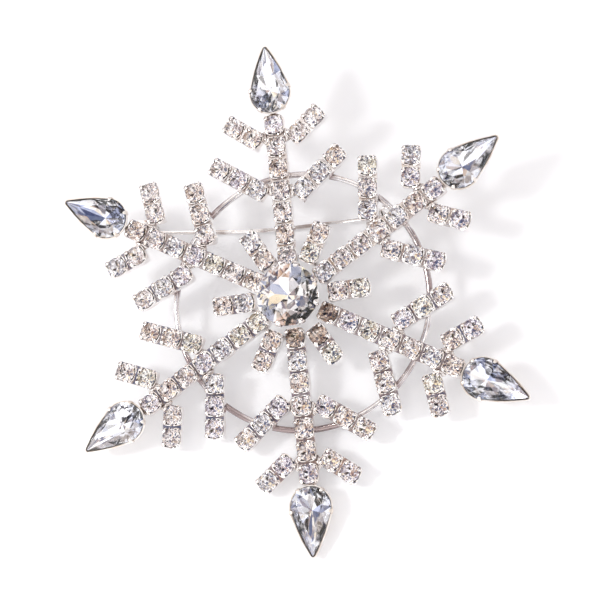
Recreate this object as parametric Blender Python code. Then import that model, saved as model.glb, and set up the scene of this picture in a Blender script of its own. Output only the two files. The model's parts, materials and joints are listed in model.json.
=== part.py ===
"""Six-armed snowflake brooch with crystal stones, a pin stem and a roll-over catch.

Metres, +Z out of the front face, +Y along the top arm. The origin is the middle of the snowflake, on the
flat back that all the cup rows and settings share. Every arm is a row of square claw cups with two pairs
of side branches and a pear-shaped stone at its end. A wire ring is soldered behind the arms, and the pin
hangs below it from a riveted joint and a catch.
"""
import math

import bmesh
import bpy
from mathutils import Matrix, Vector

MM = 0.001

# --- Cup rows ---------------------------------------------------------------------------------------
ARM_COUNT = 6
CUP_SIDE = 3.0 * MM           # outside of a square cup
CUP_CORNER_CUT = 0.45 * MM    # taken off each corner of a cup, where its claw stands
CUP_GAP = 0.5 * MM            # between two cups of a row
CUP_PITCH = CUP_SIDE + CUP_GAP
CUP_WALL_HEIGHT = 1.7 * MM
RAIL_HEIGHT = 0.6 * MM        # backing strip that joins the cups of a row
CUP_FLOOR = 0.45 * MM
CUP_WALL = 0.25 * MM          # at the middle of a side
POCKET_FOOT_SHARE = 0.45      # pocket radius at its floor, as a share of its mouth
CUP_CLAW_HEIGHT = 0.75 * MM
CUP_CLAW_LEAN = 0.12 * MM     # how far a cup's claw leans in
CLAW_TAPER = 0.55             # top of a claw, as a share of its foot
SOLDER_GAP = 0.05 * MM        # left behind the brooch for solder
BRANCH_GAP = 0.32 * MM        # from a spine to the nearest corner of a side branch

SPINE_CUPS = 7
INNER_BRANCH_CUPS = 3
OUTER_BRANCH_CUPS = 2
SPOKE_CUPS = 2

# Branch roots are counted in cups of the spine: a root sits beside that cup, shifted outwards.
INNER_ROOT_CUP = 3
INNER_ROOT_SHIFT = {"left": 0.55 * MM, "right": -0.2 * MM}
INNER_BRANCH_ANGLE = {"left": 54.5, "right": 51.5}
OUTER_ROOT_CUP = 5
OUTER_ROOT_SHIFT = {"left": 1.8 * MM, "right": 1.8 * MM}
OUTER_BRANCH_ANGLE = {"left": 52.0, "right": 52.0}
SIDES = {"left": 1, "right": -1}
SPOKE_GAP = 0.37 * MM         # from a spoke's first cup to the spines beside it

# --- Centre setting and stone -----------------------------------------------------------------------
CENTRE_STONE_RADIUS = 4.85 * MM
CENTRE_GIRDLE_HEIGHT = 3.9 * MM
CENTRE_GIRDLE_BAND = 0.25 * MM
CENTRE_CROWN_HEIGHT = 1.75 * MM
CENTRE_PAVILION_DEPTH = 2.7 * MM
CENTRE_CULET_SHARE = 0.1      # flat at the bottom, as a share of the stone's radius
CENTRE_TABLE_SHARE = 0.56     # table radius, as a share of the stone's radius
CENTRE_FACETS = 16
CENTRE_CLAWS = 8
CENTRE_CLAW_GAP = 0.06 * MM   # from the stone's edge to a claw
CENTRE_CLAW_DEPTH = 0.3 * MM
CENTRE_CLAW_HEIGHT = 0.9 * MM
CENTRE_BASE_RADIUS = 3.6 * MM
CENTRE_WAIST_RADIUS = 4.8 * MM      # as wide as the setting is between the ends of the spines
CENTRE_WAIST_HEIGHT = 2.7 * MM
CENTRE_FLOOR = 0.6 * MM
CENTRE_FLOOR_RADIUS = 1.8 * MM
CENTRE_SEAT_GAP = 0.1 * MM    # between the setting's rim and the stone
ARM_END_GAP = 0.15 * MM       # from a setting to the cup beside it

# --- Pear settings and stones -----------------------------------------------------------------------
PEAR_LENGTH = 11.1 * MM       # outside of the setting
PEAR_ROUND_RADIUS = 3.4 * MM
PEAR_TIP_RADIUS = 0.6 * MM
PEAR_FLANK_BULGE = 0.2 * MM   # of each flank, in its middle
PEAR_TURN = (1.0, 1.5, 0.0, -3.0, 0.0, 2.5)   # how far each pear leans on its arm, in degrees
PEAR_WALL = 0.3 * MM
PEAR_WALL_HEIGHT = 2.1 * MM
PEAR_FOOT_INSET = 0.75 * MM   # back outline, inside the rim outline
PEAR_FLOOR = 0.5 * MM
PEAR_CROWN_HEIGHT = 1.3 * MM
PEAR_GIRDLE_BAND = 0.2 * MM
PEAR_PAVILION_DEPTH = 1.2 * MM
PEAR_CULET_INSET = 1.8 * MM   # flat at the bottom of the stone, inside its girdle
PEAR_TABLE_INSET = 1.1 * MM
PEAR_SEAT_GAP = 0.06 * MM
PEAR_CLAW_HEIGHT = 0.75 * MM
PEAR_SMALLEST_TIP = 0.15 * MM
PEAR_ROUND_STEPS = 16
PEAR_FLANK_STEPS = 4
PEAR_TIP_STEPS = 3
PEAR_CLAW_STEPS = (0, 5, 10, 15)   # steps of the round end that carry a claw

# --- Wire ring --------------------------------------------------------------------------------------
RING_CUP = 3.9                # place of the ring along the spines, counted in cups
RING_WIRE_RADIUS = 0.5 * MM
RING_CENTRE = (1.2 * MM, -0.55 * MM)
RING_STEPS = 60
WIRE_SIDES = 8

# --- Pin joint, stem and catch ----------------------------------------------------------------------
PIN_DROP = 5.7 * MM           # from the brooch's back to the axis of the stem
HINGE_ARM = 1                 # the joint is behind the last cup of this arm
HINGE_SIDE_SHIFT = -0.9 * MM
CATCH_ARM = 5                 # the catch is behind the first cup of this arm's left inner branch
STEM_RADIUS = 0.45 * MM       # at the joint
STEM_CATCH_RADIUS = 0.27 * MM
STEM_POINT_RADIUS = 0.04 * MM
STEM_POINT_LENGTH = 3.0 * MM
STEM_OVERRUN = 3.4 * MM       # from the middle of the catch to the point
STEM_BOW = 0.8 * MM           # sideways, in the middle of the stem
STEM_STEPS = 12
RIVET_RADIUS = 0.45 * MM
RUNNING_CLEARANCE = 0.05 * MM
RIVET_HEAD_RADIUS = 0.8 * MM
RIVET_HEAD_HEIGHT = 0.35 * MM
KNUCKLE_RADIUS = 1.1 * MM
KNUCKLE_WIDTH = 1.0 * MM
CHEEK_GAP = 0.1 * MM          # from the knuckle to each cheek
CHEEK_WALL = 0.5 * MM
CHEEK_LENGTH = 2.6 * MM       # along the stem
CHEEK_ROUND = 0.7 * MM
CATCH_LENGTH = 2.6 * MM       # along the stem
CATCH_FOOT_WIDTH = 2.8 * MM
FOOT_THICKNESS = 0.5 * MM
CATCH_NECK_WIDTH = 1.4 * MM
LOCK_BORE_RADIUS = 0.68 * MM
LOCK_WALL = 0.4 * MM
CATCH_WALL = 0.45 * MM
CATCH_SLOT_ANGLE = 80.0       # mouth of the catch, facing away from the brooch
LOCK_OVERHANG = 1.0 * MM      # lock sleeve past the catch's end, where its tab is
LOCK_TAB_LENGTH = 1.4 * MM
LOCK_TAB_WIDTH = 0.8 * MM
LOCK_TAB_SINK = 0.2 * MM      # into the sleeve's wall
LOCK_TAB_INSET = 0.1 * MM     # from the catch and from the sleeve's end
LOCK_TAB_ANGLE = 150.0        # from the slot, by the right-hand rule about the stem
ROUND_STEPS = 24

BACK = -SOLDER_GAP            # top of everything soldered behind the brooch


# --- Scene helpers ----------------------------------------------------------------------------------
def clear_scene():
    for item in list(bpy.data.objects):
        bpy.data.objects.remove(item, do_unlink=True)


def make_material(name, colour, roughness, metallic):
    material = bpy.data.materials.new(name)
    material.use_nodes = True
    shader = material.node_tree.nodes["Principled BSDF"]
    shader.inputs["Base Color"].default_value = (*colour, 1.0)
    shader.inputs["Roughness"].default_value = roughness
    shader.inputs["Metallic"].default_value = metallic
    return material


def add_object(name, mesh, material=None):
    item = bpy.data.objects.new(name, mesh)
    bpy.context.scene.collection.objects.link(item)
    if material and not mesh.materials:
        mesh.materials.append(material)
    return item


def mesh_from(name, work):
    """A mesh of the bmesh's closed surface, with its faces pointing out and smooth across soft edges."""
    bmesh.ops.recalc_face_normals(work, faces=work.faces)
    mesh = bpy.data.meshes.new(name)
    work.to_mesh(mesh)
    work.free()
    mesh.shade_smooth()
    mesh.set_sharp_from_angle(angle=math.radians(35))
    return mesh


def place(item, spot, turn=0.0):
    item.location = spot
    item.rotation_euler = (0.0, 0.0, turn)


def add_cutter(name, mesh):
    cutter = add_object(name, mesh)
    cutter.hide_render = True
    cutter.display_type = "WIRE"
    return cutter


def combine(item, other, operation):
    boolean = item.modifiers.new(operation.lower(), "BOOLEAN")
    boolean.operation = operation
    boolean.solver = "EXACT"
    boolean.object = other


# --- Mesh helpers -----------------------------------------------------------------------------------
def add_loop(work, points):
    return [work.verts.new(point) for point in points]


def bridge(work, lower, upper):
    """Quads between two loops of as many points."""
    count = len(lower)
    return [
        work.faces.new((lower[i], lower[(i + 1) % count], upper[(i + 1) % count], upper[i]))
        for i in range(count)
    ]


def stack(work, loops):
    """A closed body through the loops, capped at the first and the last one."""
    rings = [add_loop(work, points) for points in loops]
    work.faces.new(rings[0])
    bands = [bridge(work, low, high) for low, high in zip(rings, rings[1:])]
    work.faces.new(rings[-1])
    return bands


def circle(radius, height, count, start=0.0):
    turns = [start + 2 * math.pi * i / count for i in range(count)]
    return [Vector((radius * math.cos(t), radius * math.sin(t), height)) for t in turns]


def raise_claw(work, face, height, taper, lean):
    """Pulls one rim face up into a claw that narrows and leans by the given vector."""
    raised = bmesh.ops.extrude_face_region(work, geom=[face])["geom"]
    tips = [part for part in raised if isinstance(part, bmesh.types.BMVert)]
    work.faces.remove(face)
    middle = sum((tip.co for tip in tips), Vector()) / len(tips)
    for tip in tips:
        tip.co = middle + (tip.co - middle) * taper + lean + Vector((0, 0, height))


def extrude_outline(work, outline, start, end):
    """A body whose outline, given as (y, z) pairs, runs along X from start to end."""
    stack(work, [[Vector((x, y, z)) for y, z in outline] for x in (start, end)])


def arc(radius, first, last, steps):
    """Points (y, z) on an arc; angles in degrees from -Z, by the right-hand rule about +X."""
    angles = [math.radians(first + (last - first) * i / steps) for i in range(steps + 1)]
    return [(radius * math.sin(a), -radius * math.cos(a)) for a in angles]


# --- Cup rows ---------------------------------------------------------------------------------------
def cut_square(half, cut, middle, height):
    """Eight points round a square with its corners cut off, from the +X side; even ones start a corner."""
    points = []
    for quarter in range(4):
        turn = Matrix.Rotation(quarter * math.pi / 2, 3, "Z")
        points += [turn @ Vector((half, half - cut, height)), turn @ Vector((half - cut, half, height))]
    return [middle + point for point in points]


def cup_row_mesh(count):
    """Open square cups along +X on one rail, the first one round the origin; four claws to a cup."""
    work = bmesh.new()
    half = CUP_SIDE / 2
    pocket = (half - CUP_WALL) / math.cos(math.pi / 8)
    last_side = None
    for number in range(count):
        middle = Vector((number * CUP_PITCH, 0, 0))
        base, rail, rim = (
            add_loop(work, cut_square(half, CUP_CORNER_CUT, middle, height))
            for height in (0.0, RAIL_HEIGHT, CUP_WALL_HEIGHT)
        )
        mouth_points = circle(pocket, CUP_WALL_HEIGHT, 8, math.pi / 8)
        foot_points = circle(pocket * POCKET_FOOT_SHARE, CUP_FLOOR, 8, math.pi / 8)
        mouth = add_loop(work, [middle + point for point in mouth_points])
        foot = add_loop(work, [middle + point for point in foot_points])
        work.faces.new(base)
        for i in (0, 1, 2, 4, 5, 6):
            work.faces.new((base[i], base[i + 1], rail[i + 1], rail[i]))
        bridge(work, rail, rim)
        bridge(work, mouth, foot)
        work.faces.new(foot)
        for corner, face in enumerate(bridge(work, rim, mouth)[::2]):
            inwards = Matrix.Rotation(math.pi * (corner / 2 + 1.25), 3, "Z") @ Vector((1, 0, 0))
            raise_claw(work, face, CUP_CLAW_HEIGHT, CLAW_TAPER, inwards * CUP_CLAW_LEAN)
        near_side = (base[3], base[4], rail[4], rail[3])
        if last_side:
            bridge(work, last_side, near_side)
        else:
            work.faces.new(near_side)
        last_side = (base[0], base[7], rail[7], rail[0])
    work.faces.new(last_side)
    return mesh_from(f"cup_row_{count}", work)


def reach_of_turned_cup(angle):
    """Half the width of a cup that is turned by the angle."""
    corners = cut_square(CUP_SIDE / 2, CUP_CORNER_CUT, Vector(), 0)
    return max(corner.x * math.cos(angle) + corner.y * math.sin(angle) for corner in corners)


def arm_angle(number):
    return math.pi / 2 + 2 * math.pi * number / ARM_COUNT


def spine_radius(number):
    """Distance of a spine's cup from the middle; the first one clears the centre setting."""
    return CENTRE_WAIST_RADIUS + ARM_END_GAP + CUP_SIDE / 2 + number * CUP_PITCH


def on_arm(number, along, across):
    """A place along an arm and to its left, seen from the middle of the brooch."""
    turn = Matrix.Rotation(arm_angle(number), 3, "Z")
    return turn @ Vector((along, across, 0))


def branch_root(arm, side, cup, shift, angle):
    """First cup of a side branch: its corner is a small gap away from the spine."""
    across = CUP_SIDE / 2 + BRANCH_GAP + reach_of_turned_cup(math.radians(angle))
    return on_arm(arm, spine_radius(cup) + shift[side], SIDES[side] * across)


def add_branches(label, cups, root_cup, shifts, angles, metal):
    mesh = cup_row_mesh(cups)
    for arm in range(ARM_COUNT):
        for side, sign in SIDES.items():
            row = add_object(f"{label}_{side}_{arm + 1}", mesh, metal)
            root = branch_root(arm, side, root_cup, shifts, angles[side])
            place(row, root, arm_angle(arm) + sign * math.radians(angles[side]))


def spoke_radius():
    """First cup of a spoke: as far in as the spines on both sides let it come."""
    half_step = math.pi / ARM_COUNT
    across = CUP_SIDE / 2 + SPOKE_GAP + reach_of_turned_cup(half_step)
    return across / math.sin(half_step)


def add_cup_rows(metal):
    spine = cup_row_mesh(SPINE_CUPS)
    spoke = cup_row_mesh(SPOKE_CUPS)
    for arm in range(ARM_COUNT):
        row = add_object(f"arm_spine_{arm + 1}", spine, metal)
        place(row, on_arm(arm, spine_radius(0), 0), arm_angle(arm))
        between = arm_angle(arm) + math.pi / ARM_COUNT
        direction = Vector((math.cos(between), math.sin(between), 0))
        row = add_object(f"short_spoke_{arm + 1}", spoke, metal)
        place(row, direction * spoke_radius(), between)
    add_branches("inner_branch", INNER_BRANCH_CUPS, INNER_ROOT_CUP, INNER_ROOT_SHIFT,
                 INNER_BRANCH_ANGLE, metal)
    add_branches("outer_branch", OUTER_BRANCH_CUPS, OUTER_ROOT_CUP, OUTER_ROOT_SHIFT,
                 OUTER_BRANCH_ANGLE, metal)


# --- Pear settings ----------------------------------------------------------------------------------
def pear_outline(inset, height):
    """A round end and two bulging flanks that touch a small round tip at +X, all moved in by the inset."""
    tip_distance = PEAR_LENGTH - PEAR_ROUND_RADIUS - PEAR_TIP_RADIUS
    touch = math.acos((PEAR_ROUND_RADIUS - PEAR_TIP_RADIUS) / tip_distance)
    big = PEAR_ROUND_RADIUS - inset
    small = max(PEAR_TIP_RADIUS - inset, PEAR_SMALLEST_TIP)
    tip = Vector(((big - small) / math.cos(touch), 0, 0))

    def bow(start, end, middle, radius, steps):
        turns = [start + (end - start) * i / steps for i in range(steps + 1)]
        return [middle + Vector((radius * math.cos(t), radius * math.sin(t), 0)) for t in turns]

    def flank(start, end, side):
        bulge = Vector((math.cos(touch), side * math.sin(touch), 0)) * PEAR_FLANK_BULGE
        shares = [i / PEAR_FLANK_STEPS for i in range(1, PEAR_FLANK_STEPS)]
        return [start.lerp(end, share) + bulge * math.sin(math.pi * share) for share in shares]

    round_end = bow(touch, 2 * math.pi - touch, Vector(), big, PEAR_ROUND_STEPS)
    tip_end = bow(-touch, touch, tip, small, PEAR_TIP_STEPS)
    points = round_end + flank(round_end[-1], tip_end[0], -1)
    points += tip_end + flank(tip_end[-1], round_end[0], 1)
    return [point + Vector((0, 0, height)) for point in points]


def add_pears(metal, crystal):
    girdle_height = PEAR_WALL_HEIGHT + PEAR_SEAT_GAP
    seat = PEAR_WALL + 2 * PEAR_SEAT_GAP

    work = bmesh.new()
    bands = stack(work, [
        pear_outline(PEAR_FOOT_INSET, 0),
        pear_outline(0, PEAR_WALL_HEIGHT),
        pear_outline(PEAR_WALL, PEAR_WALL_HEIGHT),
        pear_outline(PEAR_FOOT_INSET + PEAR_WALL, PEAR_FLOOR),
    ])
    rim = bands[1]
    for step in PEAR_CLAW_STEPS:
        raise_claw(work, rim[step], PEAR_CLAW_HEIGHT, CLAW_TAPER, Vector())
    setting = mesh_from("pear_setting", work)

    work = bmesh.new()
    stack(work, [
        pear_outline(seat + PEAR_CULET_INSET, girdle_height - PEAR_PAVILION_DEPTH),
        pear_outline(seat, girdle_height),
        pear_outline(seat, girdle_height + PEAR_GIRDLE_BAND),
        pear_outline(seat + PEAR_TABLE_INSET, girdle_height + PEAR_CROWN_HEIGHT),
    ])
    stone = mesh_from("pear_stone", work)

    start = spine_radius(SPINE_CUPS - 1) + CUP_SIDE / 2 + ARM_END_GAP + PEAR_ROUND_RADIUS
    for arm in range(ARM_COUNT):
        spot = on_arm(arm, start, 0)
        turn = arm_angle(arm) + math.radians(PEAR_TURN[arm])
        place(add_object(f"pear_setting_{arm + 1}", setting, metal), spot, turn)
        place(add_object(f"pear_stone_{arm + 1}", stone, crystal), spot, turn)


# --- Centre -----------------------------------------------------------------------------------------
def add_centre(metal, crystal):
    rim_height = CENTRE_GIRDLE_HEIGHT - CENTRE_SEAT_GAP
    pavilion_slope = CENTRE_STONE_RADIUS / CENTRE_PAVILION_DEPTH
    seat_radius = CENTRE_STONE_RADIUS - CENTRE_SEAT_GAP * pavilion_slope + CENTRE_SEAT_GAP
    claw_radius = CENTRE_STONE_RADIUS + CENTRE_CLAW_GAP
    count = 2 * CENTRE_FACETS
    half_step = math.pi / count

    work = bmesh.new()
    bands = stack(work, [
        circle(CENTRE_BASE_RADIUS, 0, count, half_step),
        circle(CENTRE_WAIST_RADIUS, CENTRE_WAIST_HEIGHT, count, half_step),
        circle(claw_radius + CENTRE_CLAW_DEPTH, rim_height, count, half_step),
        circle(claw_radius, rim_height, count, half_step),
        circle(seat_radius, rim_height, count, half_step),
        circle(CENTRE_FLOOR_RADIUS, CENTRE_FLOOR, count, half_step),
    ])
    claw_band = bands[2]
    for number in range(CENTRE_CLAWS):
        face = claw_band[number * count // CENTRE_CLAWS]
        raise_claw(work, face, CENTRE_CLAW_HEIGHT, CLAW_TAPER, Vector())
    add_object("centre_setting", mesh_from("centre_setting", work), metal)

    crown_foot = CENTRE_GIRDLE_HEIGHT + CENTRE_GIRDLE_BAND
    work = bmesh.new()
    stack(work, [
        circle(CENTRE_STONE_RADIUS * CENTRE_CULET_SHARE, CENTRE_GIRDLE_HEIGHT - CENTRE_PAVILION_DEPTH,
               CENTRE_FACETS),
        circle(CENTRE_STONE_RADIUS, CENTRE_GIRDLE_HEIGHT, CENTRE_FACETS),
        circle(CENTRE_STONE_RADIUS, crown_foot, CENTRE_FACETS),
        circle(CENTRE_STONE_RADIUS * CENTRE_TABLE_SHARE, crown_foot + CENTRE_CROWN_HEIGHT,
               CENTRE_FACETS),
    ])
    add_object("centre_stone", mesh_from("centre_stone", work), crystal)


# --- Wire ring --------------------------------------------------------------------------------------
def add_ring(metal):
    work = bmesh.new()
    radius = spine_radius(RING_CUP)
    section = circle(RING_WIRE_RADIUS, 0, WIRE_SIDES, math.pi / WIRE_SIDES)
    loops = []
    for i in range(RING_STEPS):
        turn = Matrix.Rotation(2 * math.pi * i / RING_STEPS, 3, "Z")
        loops.append(add_loop(work, [turn @ Vector((radius + p.x, 0, p.y)) for p in section]))
    for i in range(RING_STEPS):
        bridge(work, loops[i], loops[(i + 1) % RING_STEPS])
    ring = add_object("wire_ring", mesh_from("wire_ring", work), metal)
    place(ring, (*RING_CENTRE, BACK - RING_WIRE_RADIUS))


# --- Pin joint, stem and catch ----------------------------------------------------------------------
def hinge_spot():
    spot = on_arm(HINGE_ARM, spine_radius(SPINE_CUPS - 1), HINGE_SIDE_SHIFT)
    return spot - Vector((0, 0, PIN_DROP))


def catch_spot():
    spot = branch_root(CATCH_ARM, "left", INNER_ROOT_CUP, INNER_ROOT_SHIFT, INNER_BRANCH_ANGLE["left"])
    return spot - Vector((0, 0, PIN_DROP))


def along_y(radius, y, count):
    """A circle round the Y axis."""
    return [Vector((p.x, y, p.y)) for p in circle(radius, 0, count)]


def stem_radius(x, catch_x, end_x):
    """The stem narrows evenly from the joint to the catch, and then to its point."""
    if x <= catch_x:
        return STEM_RADIUS + (STEM_CATCH_RADIUS - STEM_RADIUS) * x / catch_x
    share = max(0.0, (x - (end_x - STEM_POINT_LENGTH)) / STEM_POINT_LENGTH)
    return STEM_CATCH_RADIUS + (STEM_POINT_RADIUS - STEM_CATCH_RADIUS) * share


def stem_mesh(catch_x):
    """The bare stem along +X; it starts inside the wall of its knuckle."""
    start_x = (RIVET_RADIUS + RUNNING_CLEARANCE + KNUCKLE_RADIUS) / 2
    end_x = catch_x + STEM_OVERRUN
    stops = [start_x + (catch_x - start_x) * i / STEM_STEPS for i in range(STEM_STEPS + 1)]
    stops += [end_x - STEM_POINT_LENGTH, end_x - STEM_POINT_LENGTH / 2, end_x]
    work = bmesh.new()
    loops = []
    for x in stops:
        bow = STEM_BOW * math.sin(math.pi * min(x / catch_x, 1.0)) ** 2
        section = circle(stem_radius(x, catch_x, end_x), 0, WIRE_SIDES)
        loops.append([Vector((x, p.x - bow, p.y)) for p in section])
    stack(work, loops)
    return mesh_from("pin_stem", work)


def add_pin_stem(metal, turn, catch_x):
    stem = add_object("pin_stem", stem_mesh(catch_x), metal)
    place(stem, hinge_spot(), turn)

    work = bmesh.new()
    stack(work, [along_y(KNUCKLE_RADIUS, side * KNUCKLE_WIDTH / 2, ROUND_STEPS) for side in (-1, 1)])
    knuckle = add_cutter("knuckle_blank", mesh_from("knuckle_blank", work))
    place(knuckle, hinge_spot(), turn)
    combine(stem, knuckle, "UNION")

    bore_reach = KNUCKLE_WIDTH + CHEEK_WALL + CHEEK_GAP
    work = bmesh.new()
    stack(work, [along_y(RIVET_RADIUS + RUNNING_CLEARANCE, side * bore_reach, ROUND_STEPS)
                 for side in (-1, 1)])
    bore = add_cutter("rivet_bore", mesh_from("rivet_bore", work))
    place(bore, hinge_spot(), turn)
    combine(stem, bore, "DIFFERENCE")
    return bore


def add_pin_joint(metal, turn, bore):
    inner = KNUCKLE_WIDTH / 2 + CHEEK_GAP
    outer = inner + CHEEK_WALL
    top = PIN_DROP + BACK
    bottom = -KNUCKLE_RADIUS
    outline = [
        (-outer, bottom), (-inner, bottom), (-inner, top - FOOT_THICKNESS),
        (inner, top - FOOT_THICKNESS), (inner, bottom), (outer, bottom), (outer, top), (-outer, top),
    ]
    work = bmesh.new()
    extrude_outline(work, outline, -CHEEK_LENGTH / 2, CHEEK_LENGTH / 2)
    corners = [
        edge for edge in work.edges
        if all(abs(vert.co.z - bottom) < SOLDER_GAP for vert in edge.verts)
        and abs(edge.verts[0].co.x - edge.verts[1].co.x) < SOLDER_GAP
    ]
    bmesh.ops.bevel(work, geom=corners, offset=CHEEK_ROUND, segments=3, profile=0.5, affect="EDGES")
    bracket = add_object("pin_joint", mesh_from("pin_joint", work), metal)
    place(bracket, hinge_spot(), turn)
    combine(bracket, bore, "DIFFERENCE")

    reach = outer + RUNNING_CLEARANCE
    dome = RIVET_HEAD_RADIUS - RIVET_HEAD_HEIGHT / 2
    work = bmesh.new()
    stack(work, [
        along_y(radius, y, ROUND_STEPS // 2) for radius, y in (
            (dome, -reach - RIVET_HEAD_HEIGHT),
            (RIVET_HEAD_RADIUS, -reach - RIVET_HEAD_HEIGHT / 2),
            (RIVET_HEAD_RADIUS, -reach),
            (RIVET_RADIUS, -reach),
            (RIVET_RADIUS, reach),
            (RIVET_HEAD_RADIUS, reach),
            (RIVET_HEAD_RADIUS, reach + RIVET_HEAD_HEIGHT / 2),
            (dome, reach + RIVET_HEAD_HEIGHT),
        )
    ])
    place(add_object("joint_rivet", mesh_from("joint_rivet", work), metal), hinge_spot(), turn)


def add_catch(metal, turn):
    lock_radius = LOCK_BORE_RADIUS + LOCK_WALL
    inner = lock_radius + RUNNING_CLEARANCE
    outer = inner + CATCH_WALL
    top = PIN_DROP + BACK
    shoulder = top - FOOT_THICKNESS
    foot, neck = CATCH_FOOT_WIDTH / 2, CATCH_NECK_WIDTH / 2
    slot = CATCH_SLOT_ANGLE / 2
    neck_angle = 180 - math.degrees(math.asin(neck / outer))

    outline = arc(outer, slot, neck_angle, ROUND_STEPS // 2)
    outline += [(neck, shoulder), (foot, shoulder), (foot, top)]
    outline += [(-foot, top), (-foot, shoulder), (-neck, shoulder)]
    outline += arc(outer, 360 - neck_angle, 360 - slot, ROUND_STEPS // 2)
    outline += arc(inner, 360 - slot, slot, ROUND_STEPS)
    work = bmesh.new()
    extrude_outline(work, outline, -CATCH_LENGTH / 2, CATCH_LENGTH / 2)
    place(add_object("catch_body", mesh_from("catch_body", work), metal), catch_spot(), turn)

    outline = arc(lock_radius, slot, 360 - slot, ROUND_STEPS)
    outline += arc(LOCK_BORE_RADIUS, 360 - slot, slot, ROUND_STEPS)
    work = bmesh.new()
    extrude_outline(work, outline, -CATCH_LENGTH / 2, CATCH_LENGTH / 2 + LOCK_OVERHANG)
    lock = add_object("catch_lock", mesh_from("catch_lock", work), metal)
    place(lock, catch_spot(), turn)

    tab_turn = Matrix.Rotation(math.radians(LOCK_TAB_ANGLE), 3, "X")
    side = LOCK_TAB_WIDTH / 2
    near, far = lock_radius - LOCK_TAB_SINK, lock_radius + LOCK_TAB_LENGTH
    start = CATCH_LENGTH / 2 + LOCK_TAB_INSET
    end = CATCH_LENGTH / 2 + LOCK_OVERHANG - LOCK_TAB_INSET
    work = bmesh.new()
    stack(work, [
        [tab_turn @ Vector((x, y, -r)) for y, r in ((-side, near), (side, near), (side, far), (-side, far))]
        for x in (start, end)
    ])
    tab = add_cutter("tab_blank", mesh_from("tab_blank", work))
    place(tab, catch_spot(), turn)
    combine(lock, tab, "UNION")


def add_pin(metal, stem_metal):
    """The pin's own X runs from the joint to the catch, and its Y is the joint's axis."""
    span = catch_spot() - hinge_spot()
    turn = math.atan2(span.y, span.x)
    bore = add_pin_stem(stem_metal, turn, span.length)
    add_pin_joint(metal, turn, bore)
    add_catch(metal, turn)


def build():
    clear_scene()
    silver = make_material("silver_plate", (0.86, 0.84, 0.83), 0.16, 1.0)
    steel = make_material("pin_steel", (0.72, 0.71, 0.70), 0.22, 1.0)
    clear = make_material("clear_crystal", (0.93, 0.94, 0.97), 0.02, 0.0)
    blue = make_material("pear_crystal", (0.74, 0.80, 0.90), 0.02, 0.0)
    add_cup_rows(silver)
    add_pears(silver, blue)
    add_centre(silver, clear)
    add_ring(silver)
    add_pin(silver, steel)


build()
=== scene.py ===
import json
import math
import random

import bmesh
import bpy
import numpy as np
from mathutils import Matrix, Vector, noise

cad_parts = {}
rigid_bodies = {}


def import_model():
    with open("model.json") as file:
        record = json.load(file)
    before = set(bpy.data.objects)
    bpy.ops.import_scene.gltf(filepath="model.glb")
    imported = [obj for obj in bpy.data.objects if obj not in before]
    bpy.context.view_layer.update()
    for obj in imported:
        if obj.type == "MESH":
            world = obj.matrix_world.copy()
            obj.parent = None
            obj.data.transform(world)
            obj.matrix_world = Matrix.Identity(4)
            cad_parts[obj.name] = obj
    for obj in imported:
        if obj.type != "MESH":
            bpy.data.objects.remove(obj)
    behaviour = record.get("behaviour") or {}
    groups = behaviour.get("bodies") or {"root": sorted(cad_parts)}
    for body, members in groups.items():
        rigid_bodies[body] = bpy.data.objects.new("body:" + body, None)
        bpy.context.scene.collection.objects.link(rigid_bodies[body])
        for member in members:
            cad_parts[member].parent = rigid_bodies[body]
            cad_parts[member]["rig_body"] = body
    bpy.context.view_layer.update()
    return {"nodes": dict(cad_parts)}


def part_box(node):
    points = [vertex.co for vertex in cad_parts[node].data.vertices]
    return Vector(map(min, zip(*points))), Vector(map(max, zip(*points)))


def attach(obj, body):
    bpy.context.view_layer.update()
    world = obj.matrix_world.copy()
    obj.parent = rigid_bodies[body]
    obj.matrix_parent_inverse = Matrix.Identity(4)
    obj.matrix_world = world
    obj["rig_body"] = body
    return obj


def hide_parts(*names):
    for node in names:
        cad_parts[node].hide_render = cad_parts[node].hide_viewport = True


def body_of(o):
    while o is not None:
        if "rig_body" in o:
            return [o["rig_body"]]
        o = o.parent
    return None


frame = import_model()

MM = 0.001
ORIGIN = Vector((0, 0, 0))

# --- Camera and light -------------------------------------------------------------------------------
VIEW_DISTANCE = 300 * MM
VIEW_AZIMUTH = 49.2           # degrees round the brooch, 0 looks along +Y
VIEW_ELEVATION = 75.5
VIEW_ROLL = -5.7
VIEW_OFFSET = (1.09 * MM, -0.27 * MM)      # of the camera, sideways and upwards
VIEW_CLIP = (0.01, 10.0)
SENSOR_WIDTH = 36.0           # only its ratio to the lens counts
FRAME_WIDTH = 93.0 * MM       # what the camera sees at the brooch
FLOOR_GAP = 0.1 * MM          # under the three places that the brooch rests on
FLOOR_SIZE = 3.0              # half a side
FLOOR_GLOW = 0.11             # keeps the shadows pale
KEY_DISTANCE = 0.8            # of the main light
KEY_TILT = 42.0               # from straight above, in degrees
KEY_SIDE = 170.0              # direction that it stands in, in degrees from +X
KEY_SIZE = 0.17
KEY_POWER = 1.9

ROOM_SCALE = 2.6              # of the patches that the stones reflect
ROOM_STRENGTH = 1.49
HORIZON_LOW = 0.0             # the room is dark below this height and bright above the next
HORIZON_HIGH = 0.34

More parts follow.
